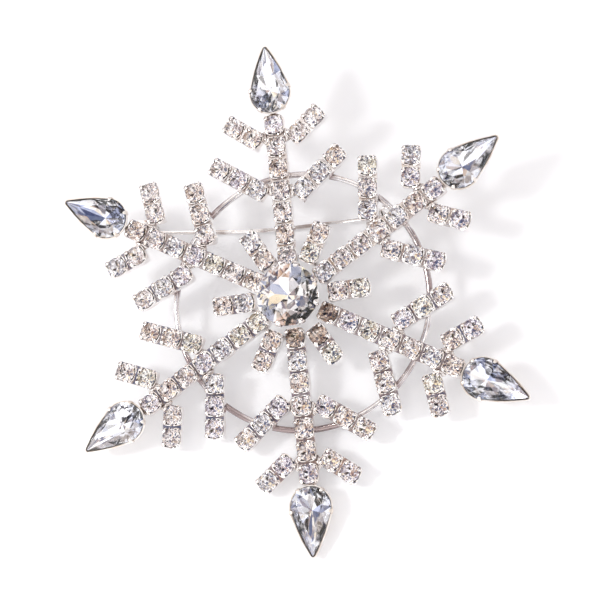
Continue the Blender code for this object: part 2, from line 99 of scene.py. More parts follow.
# --- Cup rows ---------------------------------------------------------------------------------------
ROW_CUPS = {"arm_spine": 7, "inner_branch": 3, "outer_branch": 2, "short_spoke": 2}
CUP_POINTS = 32               # round a cup
CUP_RIM = 1.40 * MM           # height of a cup's rim between its claws
CUP_RIM_LIFT = 0.36 * MM      # how much higher the rim is at a claw
CUP_WALL = 0.14 * MM
CUP_STRETCH = 1.075           # of a cup along its row, so that the gaps are narrow
CLAW_SIDES = 8
LINK_BACK = 0.22 * MM         # how far the back of a link is sunk between the cups
LINK_HEIGHT = (1.0 * MM, 1.4 * MM)         # of a link's front, drawn between these
LINK_START = 0.7              # where a link starts and ends in its cups, as a share of half a side
LINK_WIDTH = 0.99             # of a link, as a share of a cup's side
LINK_EDGE = 0.05 * MM         # bevel of a link
ROW_SHARP = 28.0              # angle from which an edge of a row stays sharp, in degrees
SMALL_SEAT = 1.74 * MM        # height of a small stone's girdle
SMALL_RADIUS = 1.47 * MM
SMALL_CROWN = 0.62 * MM
SMALL_PAVILION = 1.15 * MM
SMALL_TABLE = 0.55            # radius of its table, as a share of the stone's
SMALL_FOIL_SHARES = (5, 3, 2, 3, 2)
SMALL_SEED = 7
STONE_TILT = 3.5              # largest tilt of a small stone, in degrees
PAINTED_SHADOW_SIDE = -55.0             # direction in which the foils near the centre are darkened as painted shadow of the centre stone, in degrees from +X
PAINTED_SHADOW_SPREAD = 0.72            # cosine of the largest angle to that direction
PAINTED_SHADOW_REACH = 8.6 * MM

# --- Pears ------------------------------------------------------------------------------------------
PEAR_TIP_RADIUS = 0.6 * MM
PEAR_BULGE = 0.2 * MM         # of each flank
PEAR_RIM = 0.22 * MM          # thickness of the rim
PEAR_SEAT = 2.22 * MM         # height of the stone's girdle
PEAR_STONE_GAP = 0.04 * MM    # from the rim to the stone
PEAR_CROWN = 1.05 * MM
PEAR_PAVILION = 1.5 * MM
PEAR_TABLE = 0.62             # these three are shares of the stone's outline
PEAR_STAR = 0.84
PEAR_LOWER = 0.45
PEAR_CULET = 0.5 * MM         # from the middle of the round end towards the tip
PEAR_GIRDLE = 0.06            # half its height, as a share of the crown's
PEAR_FOIL_SHARES = (7, 3, 1)

# --- Centre -----------------------------------------------------------------------------------------
CENTRE_SEAT = 3.95 * MM       # height of the stone's girdle
CENTRE_CROWN = 1.75 * MM
CENTRE_PAVILION = 1.8 * MM
CENTRE_TABLE = 0.54
CENTRE_FOIL_SHARES = (7, 4, 4, 1, 0.7)
CENTRE_FOIL_SEED = 11
CENTRE_TURN = 0.2             # of the stone in its setting, in radians
CENTRE_CLAWS = 8
CENTRE_STEPS = 64             # round the setting

# --- Wire and solder --------------------------------------------------------------------------------
WIRE_RADIUS = 0.5 * MM
WIRE_SIDES = 16
RING_STEPS = 180
BRANCH_LUMP = (1.15, 0.5, 0.65)            # sizes of the lumps of solder: along, across and upwards
PEAR_LUMP = (0.45, 0.95, 0.5)
RING_LUMP = (0.8, 0.75, 0.3)
BRANCH_LUMP_HEIGHT = 0.75 * MM             # of their middles
PEAR_LUMP_HEIGHT = 0.55 * MM
RING_LUMP_HEIGHT = -0.2 * MM
BRANCH_LUMP_GAP = 0.15 * MM                # from the side of the spine
PEAR_LUMP_GAP = 0.12 * MM                  # from the end of the spine
RING_LUMP_REACH = 0.25                     # from the ring, in cups
LUMP_SHAPES = 4
LUMP_SEED = 3
LUMP_WAVE = (0.9 * MM, 0.22)               # length and depth of the unevenness
LUMP_RIPPLE = (0.35 * MM, 0.07)

# --- Pin --------------------------------------------------------------------------------------------
FLAT_ANGLE = 2.0              # faces that meet at less than this become one, in degrees
EDGE_ANGLE = 35.0             # edges sharper than this are rounded
PIN_SHARP = 50.0              # and of the result, edges sharper than this are shaded as sharp

# --- Metal ------------------------------------------------------------------------------------------
PAINTED_SHADE_REACH = 0.7 * MM        # how near another face the painted shade in crevices gathers
PAINTED_SHADE_SAMPLES = 6
PAINTED_SHADE_RANGE = (0.15, 0.75)    # how open a place is that is full of painted shade, and one that is free of it
POLISH_SCALE = 700.0
MARK_SCALE = 1600.0
MARK_DEPTH = 0.03 * MM


# --- Meshes -----------------------------------------------------------------------------------------
def finish_mesh(name, work, sharp=40.0, smooth=True):
    bmesh.ops.recalc_face_normals(work, faces=work.faces)
    mesh = bpy.data.meshes.new(name)
    work.to_mesh(mesh)
    work.free()
    if smooth:
        mesh.shade_smooth()
        mesh.set_sharp_from_angle(angle=math.radians(sharp))
    return mesh


def add_piece(name, mesh, materials, matrix=None, body="root", *, slot):
    """An object of this mesh that rides on a CAD body. A mesh keeps the materials of its first use."""
    piece = bpy.data.objects.new(name, mesh)
    bpy.context.scene.collection.objects.link(piece)
    if not mesh.materials:
        for material in materials:
            mesh.materials.append(material)
    if matrix is not None:
        piece.matrix_world = matrix
    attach(piece, body)
    return piece


def loft(work, loops, closed=False):
    """Quads through loops of as many points each, with a cap at both ends or closed on itself."""
    rings = [[work.verts.new(point) for point in points] for points in loops]
    pairs = list(zip(rings, rings[1:]))
    if closed:
        pairs.append((rings[-1], rings[0]))
    for low, high in pairs:
        count = len(low)
        for i in range(count):
            after = (i + 1) % count
            work.faces.new((low[i], low[after], high[after], high[i]))
    if not closed:
        work.faces.new(rings[0])
        work.faces.new(rings[-1])


def circle(radius, height, count):
    turns = [2 * math.pi * i / count for i in range(count)]
    return [Vector((radius * math.cos(t), radius * math.sin(t), height)) for t in turns]


def soft_square(half, power, height, lift):
    """A square whose corners are rounder the lower the power; the lift raises its corners."""
    points = []
    for i in range(CUP_POINTS):
        turn = 2 * math.pi * i / CUP_POINTS
        across, up = math.cos(turn), math.sin(turn)
        radius = half / (abs(across) ** power + abs(up) ** power) ** (1 / power)
        corner = math.sin(2 * turn) ** 4
        points.append(Vector((radius * across, radius * up, height + lift * corner)))
    return points


def prong(work, place, path, widths, depths):
    """A claw: an oval section swept along a path of (radius, height) points, then placed by a matrix. The
    widths and depths are halves."""
    loops = []
    for i, (radius, height) in enumerate(path):
        before = path[max(i - 1, 0)]
        after = path[min(i + 1, len(path) - 1)]
        along = Vector((after[0] - before[0], 0, after[1] - before[1])).normalized()
        normal = Vector((along.z, 0, -along.x))
        centre = Vector((radius, 0, height))
        ring = []
        for k in range(CLAW_SIDES):
            t = 2 * math.pi * (k + 0.5) / CLAW_SIDES
            ring.append(place @ (centre + normal * (depths[i] * math.cos(t)) +
                                 Vector((0, widths[i] * math.sin(t), 0))))
        loops.append(ring)
    loft(work, loops)


def scaled(values):
    """Millimetres as metres."""
    return [value * MM for value in values]


def placed(mesh, matrix):
    """A copy of the mesh whose points are moved to their place."""
    copy = mesh.copy()
    copy.transform(matrix)
    return copy


# --- Cut stones -------------------------------------------------------------------------------------
def cut_stone(outline, crown_height, pavilion_depth, table, star, lower, culet, girdle=0.04):
    """A brilliant cut on an outline of an even number of points: table, stars, kites and halves over a
    girdle, and mains and halves below. The table, star and lower rings are shares of the outline, and half
    the girdle is a share of the crown's height. The crown takes material 0 and the foiled pavilion 1."""
    count = len(outline)
    work = bmesh.new()

    def ring(share, height, wanted, centre=ORIGIN):
        points = []
        for i in wanted:
            spot = centre + (Vector(outline[i]) - centre) * share
            points.append(work.verts.new((spot.x, spot.y, height)))
        return points

    even, odd = range(0, count, 2), range(1, count, 2)
    band = girdle * crown_height
    cos_half = math.cos(2 * math.pi / count)
    star_height = crown_height * (1 - (star * cos_half - table) / (1 - table))
    lower_height = -pavilion_depth * (1 - lower * cos_half)
    tops = ring(table, band + crown_height, even)
    stars = ring(star, band + star_height, odd)
    upper = ring(1.0, band, range(count))
    under = ring(1.0, -band, range(count))
    deep = ring(lower, -band + lower_height, odd, culet)
    point = work.verts.new((culet.x, culet.y, -band - pavilion_depth))
    half = count // 2
    work.faces.new(tops)
    foil = []
    for k in range(half):
        after = (k + 1) % half
        g0, g1, g2 = upper[2 * k], upper[2 * k + 1], upper[(2 * k + 2) % count]
        work.faces.new((tops[k], tops[after], stars[k]))
        work.faces.new((tops[k], stars[k], g0, stars[k - 1]))
        work.faces.new((stars[k], g0, g1))
        work.faces.new((stars[k], g1, g2))
        u0, u1, u2 = under[2 * k], under[2 * k + 1], under[(2 * k + 2) % count]
        work.faces.new((g0, g1, u1, u0))
        work.faces.new((g1, g2, u2, u1))
        foil.append(work.faces.new((point, deep[k], u0, deep[k - 1])))
        foil.append(work.faces.new((deep[k], u0, u1)))
        foil.append(work.faces.new((deep[k], u1, u2)))
    for face in foil:
        face.material_index = 1
    return work


def mix_facets(work, shares, seed):
    """Gives each foiled face one of several foils, in these shares."""
    chooser = random.Random(seed)
    for face in work.faces:
        if face.material_index:
            face.material_index = chooser.choices(range(1, len(shares) + 1), shares)[0]


def round_stone(name, radius, crown_height, pavilion_depth, table, shares=(1,), seed=0):
    work = cut_stone(circle(radius, 0, 16), crown_height, pavilion_depth, table, 0.80, 0.42, ORIGIN)
    mix_facets(work, shares, seed)
    return finish_mesh(name, work, smooth=False)


# --- Materials --------------------------------------------------------------------------------------
def new_material(name):
    material = bpy.data.materials.new(name)
    material.use_nodes = True
    return material, material.node_tree, material.node_tree.nodes["Principled BSDF"]


def noise_ramp(tree, scale, stops, detail=3.0, coordinate="Object"):
    """A noise texture through a colour ramp; the ramp's output."""
    where = tree.nodes.new("ShaderNodeTexCoord")
    cloud = tree.nodes.new("ShaderNodeTexNoise")
    cloud.inputs["Scale"].default_value = scale
    cloud.inputs["Detail"].default_value = detail
    ramp = tree.nodes.new("ShaderNodeValToRGB")
    tree.links.new(where.outputs[coordinate], cloud.inputs["Vector"])
    tree.links.new(cloud.outputs["Fac"], ramp.inputs["Fac"])
    elements = ramp.color_ramp.elements
    elements[0].position, elements[0].color = stops[0][0], (*stops[0][1], 1)
    elements[1].position, elements[1].color = stops[-1][0], (*stops[-1][1], 1)
    for position, colour in stops[1:-1]:
        elements.new(position).color = (*colour, 1)
    return ramp.outputs["Color"]


def metal(name, light, dark, crevice_shade, smooth, rough, bump=0.1, spread=350.0, worn=0.40):
    """Plated metal: tarnish in patches, painted shade darkening its crevices, uneven polish and fine marks.
    The spread is the scale of the patches, and more of the metal is dark the higher the worn value."""
    material, tree, shader = new_material(name)
    shader.inputs["Metallic"].default_value = 1.0
    tint = noise_ramp(tree, spread, [(worn, dark), (worn + 0.12, light)])
    # Painted shade: the colour turns towards the crevice colour where other faces are near, in gaps and
    # recesses.
    crevice = tree.nodes.new("ShaderNodeAmbientOcclusion")
    crevice.inputs["Distance"].default_value = PAINTED_SHADE_REACH
    crevice.samples = PAINTED_SHADE_SAMPLES
    reach = tree.nodes.new("ShaderNodeMapRange")
    reach.inputs["From Min"].default_value = PAINTED_SHADE_RANGE[0]
    reach.inputs["From Max"].default_value = PAINTED_SHADE_RANGE[1]
    mix = tree.nodes.new("ShaderNodeMix")
    mix.data_type = "RGBA"
    mix.inputs[6].default_value = (*crevice_shade, 1)
    tree.links.new(crevice.outputs["AO"], reach.inputs["Value"])
    tree.links.new(reach.outputs["Result"], mix.inputs[0])
    tree.links.new(tint, mix.inputs[7])
    tree.links.new(mix.outputs[2], shader.inputs["Base Color"])
    polish = noise_ramp(tree, POLISH_SCALE, [(0.3, (smooth,) * 3), (0.7, (rough,) * 3)])
    tree.links.new(polish, shader.inputs["Roughness"])
    marks = noise_ramp(tree, MARK_SCALE, [(0.4, (0, 0, 0)), (0.6, (1, 1, 1))], 4.0)
    lift = tree.nodes.new("ShaderNodeBump")
    lift.inputs["Strength"].default_value = bump
    lift.inputs["Distance"].default_value = MARK_DEPTH
    tree.links.new(marks, lift.inputs["Height"])
    tree.links.new(lift.outputs["Normal"], shader.inputs["Normal"])
    return material


def crystal(name, tint, deep_tint, ior=1.58):
    """Clear polished glass with a slight change of tint."""
    material, tree, shader = new_material(name)
    shader.inputs["Transmission Weight"].default_value = 1.0
    shader.inputs["IOR"].default_value = ior
    shader.inputs["Roughness"].default_value = 0.0
    colour = noise_ramp(tree, 60.0, [(0.4, deep_tint), (0.6, tint)], 1.0)
    tree.links.new(colour, shader.inputs["Base Color"])
    return material


def foil(name, stops, scale=900.0, haze=0.05):
    """The mirror coat under a stone, of which the haze is the roughness."""
    material, tree, shader = new_material(name)
    shader.inputs["Metallic"].default_value = 1.0
    shader.inputs["Roughness"].default_value = haze
    tree.links.new(noise_ramp(tree, scale, stops, 1.0), shader.inputs["Base Color"])
    return material


# The third colour given to each metal is the painted shade that darkens its crevices.
silver = metal("silver_plate", (0.94, 0.92, 0.91), (0.82, 0.76, 0.73), (0.26, 0.19, 0.17), 0.06, 0.22)
pale = metal("pale_plate", (0.96, 0.92, 0.88), (0.86, 0.78, 0.70), (0.72, 0.62, 0.53), 0.30, 0.45)
wire = metal("wire_plate", (0.90, 0.88, 0.88), (0.40, 0.33, 0.33), (0.28, 0.22, 0.21), 0.05, 0.16,
             spread=130.0, worn=0.46)
solder = metal("solder", (0.95, 0.94, 0.93), (0.80, 0.76, 0.74), (0.50, 0.42, 0.38), 0.15, 0.35, 0.3)
steel = metal("pin_steel", (0.88, 0.86, 0.85), (0.55, 0.48, 0.45), (0.25, 0.20, 0.18), 0.06, 0.18,
              spread=160.0)
clear_glass = crystal("clear_crystal", (0.99, 0.985, 0.98), (0.95, 0.94, 0.95))
pear_glass = crystal("pear_crystal", (0.975, 0.98, 1.0), (0.95, 0.96, 1.0), 1.42)
centre_glass = crystal("centre_crystal", (1.0, 0.995, 0.99), (0.97, 0.965, 0.97), 1.50)
PEAR_FOILS = [
    foil("pear_foil_bright", [(0.42, (0.95, 0.96, 1.0)), (0.5, (1.0, 1.0, 1.0))], 500.0, 0.10),
    foil("pear_foil_lilac", [(0.42, (0.89, 0.91, 1.0)), (0.5, (0.95, 0.965, 1.0))], 500.0, 0.10),
    foil("pear_foil_slate", [(0.42, (0.40, 0.44, 0.60)), (0.5, (0.54, 0.58, 0.74))], 500.0, 0.10),
]
CENTRE_FOILS = [
    foil("centre_foil_bright", [(0.42, (0.96, 0.95, 0.95)), (0.5, (1.0, 0.99, 0.98))], 400.0, 0.06),
    foil("centre_foil_grey", [(0.42, (0.84, 0.82, 0.83)), (0.5, (0.92, 0.90, 0.90))], 400.0, 0.06),
    foil("centre_foil_slate", [(0.42, (0.34, 0.37, 0.47)), (0.5, (0.48, 0.50, 0.60))], 400.0, 0.06),
    foil("centre_foil_straw", [(0.42, (1.0, 0.91, 0.68)), (0.5, (1.0, 0.95, 0.82))], 400.0, 0.06),
    foil("centre_foil_amber", [(0.42, (0.58, 0.42, 0.34)), (0.5, (0.74, 0.58, 0.50))], 400.0, 0.06),
]
SMALL_FOILS = [
    foil("foil_plain", [(0.42, (0.70, 0.65, 0.64)), (0.5, (0.98, 0.96, 0.955))]),
    foil("foil_warm", [(0.42, (0.70, 0.62, 0.58)), (0.5, (0.98, 0.95, 0.93))]),
    foil("foil_straw", [(0.42, (0.71, 0.68, 0.61)), (0.5, (0.98, 0.97, 0.94))]),
    foil("foil_lilac", [(0.42, (0.67, 0.63, 0.68)), (0.5, (0.97, 0.955, 0.97))]),
    foil("foil_cool", [(0.42, (0.66, 0.65, 0.68)), (0.5, (0.97, 0.965, 0.97))]),
]
# A dark brown foil for the stones in the raised centre stone's shadow: painted shadow.
SHADOW_FOIL = foil("foil_painted_shadow", [(0.42, (0.34, 0.26, 0.22)), (0.56, (0.82, 0.74, 0.68))])


# --- Places of the CAD solids -----------------------------------------------------------------------
class Axis:
    """Where a CAD solid lies that is the same on both sides of a straight axis, which points outwards."""

    def __init__(self, node):
        thing = frame["nodes"][node]
        points = np.array([thing.matrix_world @ vert.co for vert in thing.data.vertices])[:, :2]
        middle = points.mean(0)
        _, _, axes = np.linalg.svd(points - middle, full_matrices=False)
        along = axes[0] * (1 if axes[0] @ middle > 0 else -1)
        across = np.array((-along[1], along[0]))
        reach, width = (points - middle) @ along, (points - middle) @ across
        self.middle = Vector((*middle, 0))
        self.along = Vector((*along, 0))
        self.turn = math.atan2(along[1], along[0])
        self.first, self.last = float(reach.min()), float(reach.max())
        self.width = float(width.max() - width.min())

    def spot(self, distance):
        """The place that far from the solid's first end, along the axis."""
        return self.middle + self.along * (self.first + distance)

    def matrix(self, distance):
        return Matrix.Translation(self.spot(distance)) @ Matrix.Rotation(self.turn, 4, "Z")


class Row(Axis):
    """A row of cups: its count, pitch and cup side come from its solid."""

    def __init__(self, node):
        super().__init__(node)
        self.count = next(count for kind, count in ROW_CUPS.items() if node.startswith(kind))
        self.pitch = (self.last - self.first - self.width) / (self.count - 1)

    def cup(self, number):
        return self.spot(self.width / 2 + number * self.pitch)


# --- Cup rows ---------------------------------------------------------------------------------------
def in_painted_shadow(spot):
    """Whether a cup here has the dark brown foil that paints the centre stone's shadow: the ones near the
    centre do, on the lower right side.
    """
    along = Matrix.Rotation(math.radians(-PAINTED_SHADOW_SIDE), 3, "Z") @ spot
    return along.length < PAINTED_SHADOW_REACH and along.x > PAINTED_SHADOW_SPREAD * along.length


def add_cup(work, x, half):
    """A square claw cup round (x, 0): flared walls, a rim that dips between the claws, and four claws."""
    shift = Vector((x, 0, 0))
    wall = CUP_WALL / half
    levels = [  # share of the half side, squareness, height and lift: up the outside and down the inside
        (0.97, 9.0, 0.0, 0.0), (1.01, 9.0, 0.06 * MM, 0.0), (1.01, 8.0, 0.3 * MM, 0.0),
        (1.005, 6.0, 0.9 * MM, 0.0), (1.0, 5.0, CUP_RIM - 0.1 * MM, CUP_RIM_LIFT),
        (1.0, 4.6, CUP_RIM - 0.03 * MM, CUP_RIM_LIFT), (0.99, 4.6, CUP_RIM, CUP_RIM_LIFT),
        (1.0 - wall, 4.6, CUP_RIM, CUP_RIM_LIFT), (0.99 - wall, 4.6, CUP_RIM - 0.05 * MM, CUP_RIM_LIFT),
        (0.82, 4.0, 0.9 * MM, 0.0), (0.50, 3.0, 0.35 * MM, 0.0),
    ]
    loops = [soft_square(half * share, power, height, lift) for share, power, height, lift in levels]
    loft(work, [[shift + Vector((p.x * CUP_STRETCH, p.y, p.z)) for p in loop] for loop in loops])
    path = [scaled(spot) for spot in (
        (1.72, 1.00), (1.79, 1.35), (1.82, 1.66), (1.77, 1.88), (1.62, 2.01), (1.42, 2.08), (1.24, 2.12))]
    widths = scaled((0.38, 0.38, 0.37, 0.35, 0.31, 0.25, 0.12))
    depths = scaled((0.09, 0.10, 0.11, 0.12, 0.11, 0.09, 0.04))
    for corner in range(4):
        turn = Matrix.Rotation(math.pi / 4 + corner * math.pi / 2, 4, "Z")
        prong(work, Matrix.Translation(shift) @ turn, path, widths, depths)


def cup_row_mesh(name, row):
    work = bmesh.new()
    half = row.width / 2
    for number in range(row.count):
        add_cup(work, number * row.pitch, half)
    chooser = random.Random(row.count)
    for number in range(row.count - 1):
        start, end = number * row.pitch + half * LINK_START, (number + 1) * row.pitch - half * LINK_START
        side, low, high = half * LINK_WIDTH, LINK_BACK, chooser.uniform(*LINK_HEIGHT)
        levels = [(side - LINK_EDGE, low), (side, low + LINK_EDGE),
                  (side, high - LINK_EDGE), (side - LINK_EDGE, high)]
        loft(work, [[
            Vector((start, -wide, height)), Vector((end, -wide, height)),
            Vector((end, wide, height)), Vector((start, wide, height)),
        ] for wide, height in levels])
    return finish_mesh(name, work, ROW_SHARP)


def add_cup_rows():
    """The rows and their stones; returns the rows by node."""
    chooser = random.Random(SMALL_SEED)
    foils = SMALL_FOILS + [SHADOW_FOIL]
    stones = [round_stone(f"small_stone_{i + 1}", SMALL_RADIUS, SMALL_CROWN, SMALL_PAVILION, SMALL_TABLE)
              for i in range(len(foils))]
    meshes, rows = {}, {}
    for node in sorted(frame["nodes"]):
        if not node.startswith(tuple(ROW_CUPS)):
            continue
        row = rows[node] = Row(node)
        if row.count not in meshes:
            meshes[row.count] = cup_row_mesh(f"cup_row_{row.count}", row)
        cups = add_piece(f"cups_{node}", meshes[row.count], [silver], row.matrix(row.width / 2),
                         slot="silver_plate")
        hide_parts(node)
        for number in range(row.count):
            turn = Matrix.Rotation(chooser.uniform(0, math.tau), 4, "Z")
            lean = Matrix.Rotation(math.radians(chooser.uniform(-STONE_TILT, STONE_TILT)), 4, "X")
            lean @= Matrix.Rotation(math.radians(chooser.uniform(-STONE_TILT, STONE_TILT)), 4, "Y")
            seat = Matrix.Translation(row.cup(number) + Vector((0, 0, SMALL_SEAT)))
            kind = chooser.choices(range(len(SMALL_FOILS)), SMALL_FOIL_SHARES)[0]
            # Stones near the centre on the lower right get the dark foil: painted shadow of the centre stone.
            if in_painted_shadow(row.cup(number)):
                kind = foils.index(SHADOW_FOIL)
            add_piece(f"stone_{node}_{number + 1}", stones[kind], [clear_glass, foils[kind]],
                      seat @ lean @ turn, slot="clear_crystal")
    return rows


# --- Pears ------------------------------------------------------------------------------------------
class Pear(Axis):
    """A pear setting: a round end and two bulging flanks that meet in a small round tip."""

    def __init__(self, node):
        super().__init__(node)
        self.radius = self.width / 2
        tip_distance = self.last - self.first - self.radius - PEAR_TIP_RADIUS
        self.touch = math.acos((self.radius - PEAR_TIP_RADIUS) / tip_distance)
        self.place = self.matrix(self.radius)

    def outline(self, inset, height, round_steps=40, flank_steps=8, tip_steps=8):
        """The tip first, then round; the inset moves all of it inwards."""
        big = self.radius - inset
        small = max(PEAR_TIP_RADIUS - inset, 0.05 * MM)
        tip = Vector(((big - small) / math.cos(self.touch), 0, 0))

        def bow(start, end, middle, radius, steps):
            turns = [start + (end - start) * i / steps for i in range(steps + 1)]
            return [middle + Vector((radius * math.cos(t), radius * math.sin(t), 0)) for t in turns]

        def flank(start, end, side):
            bulge = Vector((math.cos(self.touch), side * math.sin(self.touch), 0)) * PEAR_BULGE
            shares = [i / flank_steps for i in range(1, flank_steps)]
            return [start.lerp(end, share) + bulge * math.sin(math.pi * share) for share in shares]

        round_end = bow(self.touch, 2 * math.pi - self.touch, ORIGIN, big, round_steps)
        if tip_steps:
            lower = bow(-self.touch, 0, tip, small, tip_steps // 2)
            upper = bow(0, self.touch, tip, small, tip_steps // 2)
        else:
            lower = upper = [tip + Vector((small, 0, 0))]
        points = upper + flank(upper[-1], round_end[0], 1)
        points += round_end + flank(round_end[-1], lower[0], -1) + lower[:-1]
        return [point + Vector((0, 0, height)) for point in points]


def pear_setting_mesh(pear):
    """A thin-rimmed dish with a rolled edge and small bent claws."""
    work = bmesh.new()
    levels = [  # inset and height: up the outside and down the inside
        (0.80, 0.0), (0.70, 0.05), (0.60, 0.3), (0.30, 1.2), (0.06, 1.85), (0.0, 2.0), (0.0, 2.16),
        (0.03, 2.22), (PEAR_RIM / MM - 0.03, 2.22), (PEAR_RIM / MM, 2.16), (0.35, 1.7), (1.2, 0.6),
    ]
    loft(work, [pear.outline(inset * MM, height * MM) for inset, height in levels])
    radius = pear.radius / MM
    path = [scaled(spot) for spot in (
        (radius - 0.05, 1.6), (radius + 0.02, 2.1), (radius - 0.02, 2.42), (radius - 0.18, 2.6),
        (radius - 0.42, 2.68), (radius - 0.56, 2.7))]
    widths = scaled((0.42, 0.40, 0.36, 0.31, 0.24, 0.12))
    depths = scaled((0.09, 0.10, 0.10, 0.10, 0.08, 0.03))
    for turn in (pear.touch * 1.15, math.pi * 0.8):
        for side in (turn, -turn):
            prong(work, Matrix.Rotation(side, 4, "Z"), path, widths, depths)
    return finish_mesh("pear_setting", work)


def pear_stone_mesh(pear, seed):
    outline = pear.outline(PEAR_RIM + PEAR_STONE_GAP, 0, 10, 3, 0)
    work = cut_stone(outline, PEAR_CROWN, PEAR_PAVILION, PEAR_TABLE, PEAR_STAR, PEAR_LOWER,
                     Vector((PEAR_CULET, 0, 0)), PEAR_GIRDLE)
    mix_facets(work, PEAR_FOIL_SHARES, seed)
    return finish_mesh("pear_stone", work, smooth=False)


def add_pears():
    setting_mesh = None
    for number in range(1, 7):
        pear = Pear(f"pear_setting_{number}")
        setting_mesh = setting_mesh or pear_setting_mesh(pear)
        stone_mesh = pear_stone_mesh(pear, number)
        setting = add_piece(f"pear_dish_{number}", placed(setting_mesh, pear.place), [pale],
                            slot="silver_plate")
        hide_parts(f"pear_setting_{number}")
        seat = pear.place @ Matrix.Translation((0, 0, PEAR_SEAT))
        stone = add_piece(f"pear_cut_{number}", placed(stone_mesh, seat), [pear_glass] + PEAR_FOILS,
                          slot="pear_crystal")
        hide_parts(f"pear_stone_{number}")


# --- Centre -----------------------------------------------------------------------------------------
def add_centre():
    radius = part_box("centre_stone")[1].x
    work = bmesh.new()
    levels = [  # radius and height: up the outside and down the inside
        (3.3, 0.0), (3.5, 0.08), (3.6, 0.5), (4.2, 2.0), (4.5, 2.9), (4.62, 3.3), (4.68, 3.5), (4.62, 3.55),
        (4.45, 3.5), (4.0, 3.0), (2.0, 0.8),
    ]
    loft(work, [circle(size * MM, height * MM, CENTRE_STEPS) for size, height in levels])
    path = [scaled(spot) for spot in (
        (4.55, 2.6), (4.80, 3.2), (4.98, 3.75), (5.04, 4.1), (4.96, 4.38), (4.76, 4.58), (4.5, 4.72),
        (4.36, 4.77))]
    widths = scaled((0.50, 0.55, 0.58, 0.58, 0.54, 0.46, 0.34, 0.16))
    depths = scaled((0.09, 0.10, 0.10, 0.11, 0.11, 0.10, 0.08, 0.03))
    for number in range(CENTRE_CLAWS):
        turn = Matrix.Rotation(math.tau * (number + 0.5) / CENTRE_CLAWS, 4, "Z")
        prong(work, turn, path, widths, depths)
    setting = add_piece("centre_cup", finish_mesh("centre_cup", work), [silver], slot="silver_plate")
    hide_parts("centre_setting")
    mesh = round_stone("centre_cut", radius, CENTRE_CROWN, CENTRE_PAVILION, CENTRE_TABLE,
                       CENTRE_FOIL_SHARES, CENTRE_FOIL_SEED)
    place = Matrix.Translation((0, 0, CENTRE_SEAT)) @ Matrix.Rotation(CENTRE_TURN, 4, "Z")
    stone = add_piece("centre_cut", mesh, [centre_glass] + CENTRE_FOILS, place, slot="clear_crystal")
    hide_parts("centre_stone")


# --- Ring and solder --------------------------------------------------------------------------------
def ring_place():
    low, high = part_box("wire_ring")
    return (low + high) / 2, (high.x - low.x) / 2 - WIRE_RADIUS


def add_ring():
    middle, radius = ring_place()
    work = bmesh.new()
    loops = []
    for i in range(RING_STEPS):
        turn = Matrix.Rotation(math.tau * i / RING_STEPS, 3, "Z")
        loops.append([turn @ Vector((radius + p.x, 0, p.y)) for p in circle(WIRE_RADIUS, 0, WIRE_SIDES)])
    loft(work, loops, closed=True)
    ring = add_piece("ring_wire", finish_mesh("ring_wire", work), [wire], Matrix.Translation(middle),
                     slot="silver_plate")
    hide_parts("wire_ring")


def lump_mesh(name, seed):
    """A lump of solder, about 1 mm in radius: a ball pushed in and out unevenly."""
    work = bmesh.new()
    bmesh.ops.create_icosphere(work, subdivisions=4, radius=1 * MM)
    for vert in work.verts:
        wave = noise.noise(vert.co / LUMP_WAVE[0] + Vector((seed, 0, 0)))
        ripple = noise.noise(vert.co / LUMP_RIPPLE[0] + Vector((0, seed, 0)))
        vert.co *= 1 + LUMP_WAVE[1] * wave + LUMP_RIPPLE[1] * ripple
    return finish_mesh(name, work, 180.0)


def add_lump(name, meshes, chooser, spot, height, turn, size):
    """One of the lumps, drawn by the chooser, above or below a spot on the back."""
    where = Matrix.Translation(Vector((spot.x, spot.y, height)))
    place = where @ Matrix.Rotation(turn, 4, "Z") @ Matrix.Diagonal((*size, 1))
    add_piece(name, chooser.choice(meshes), [solder], place, slot="silver_plate")


def add_solder(rows):
    """Solder where the branches meet the spines, at the pears, and where the ring passes behind a row."""
    chooser = random.Random(LUMP_SEED)
    meshes = [lump_mesh(f"solder_lump_{i + 1}", i) for i in range(LUMP_SHAPES)]
    for node, row in rows.items():
        if node.startswith(("inner_branch", "outer_branch")):
            spine = rows[f"arm_spine_{node[-1]}"]
            root = row.cup(0)
            foot = spine.middle + spine.along * (root - spine.middle).dot(spine.along)
            spot = foot + (root - foot).normalized() * (spine.width / 2 + BRANCH_LUMP_GAP)
            add_lump(f"solder_{node}", meshes, chooser, spot, BRANCH_LUMP_HEIGHT, spine.turn, BRANCH_LUMP)
        if node.startswith("arm_spine"):
            spot = row.cup(row.count - 1) + row.along * (row.width / 2 + PEAR_LUMP_GAP)
            add_lump(f"solder_pear_{node[-1]}", meshes, chooser, spot, PEAR_LUMP_HEIGHT, row.turn, PEAR_LUMP)
    middle, radius = ring_place()
    for node, row in rows.items():
        for number in range(row.count * 4 - 3):
            spot = row.cup(number / 4)
            if abs((spot - middle).to_2d().length - radius) < RING_LUMP_REACH * row.pitch:
                add_lump(f"solder_ring_{node}", meshes, chooser, spot, RING_LUMP_HEIGHT, row.turn, RING_LUMP)
                break


# --- Pin --------------------------------------------------------------------------------------------
def softened(node, width):
    """A copy of a CAD solid with its sharp edges rounded."""
    work = bmesh.new()
    work.from_mesh(frame["nodes"][node].data)
    bmesh.ops.remove_doubles(work, verts=work.verts, dist=1e-6)
    bmesh.ops.dissolve_limit(work, angle_limit=math.radians(FLAT_ANGLE), verts=work.verts, edges=work.edges)
    limit = math.radians(EDGE_ANGLE)
    edges = [edge for edge in work.edges if edge.is_manifold and edge.calc_face_angle() > limit]
    bmesh.ops.bevel(work, geom=edges, offset=width, segments=2, profile=0.5, affect="EDGES",
                    clamp_overlap=True)
    return finish_mesh(f"{node}_soft", work, PIN_SHARP)


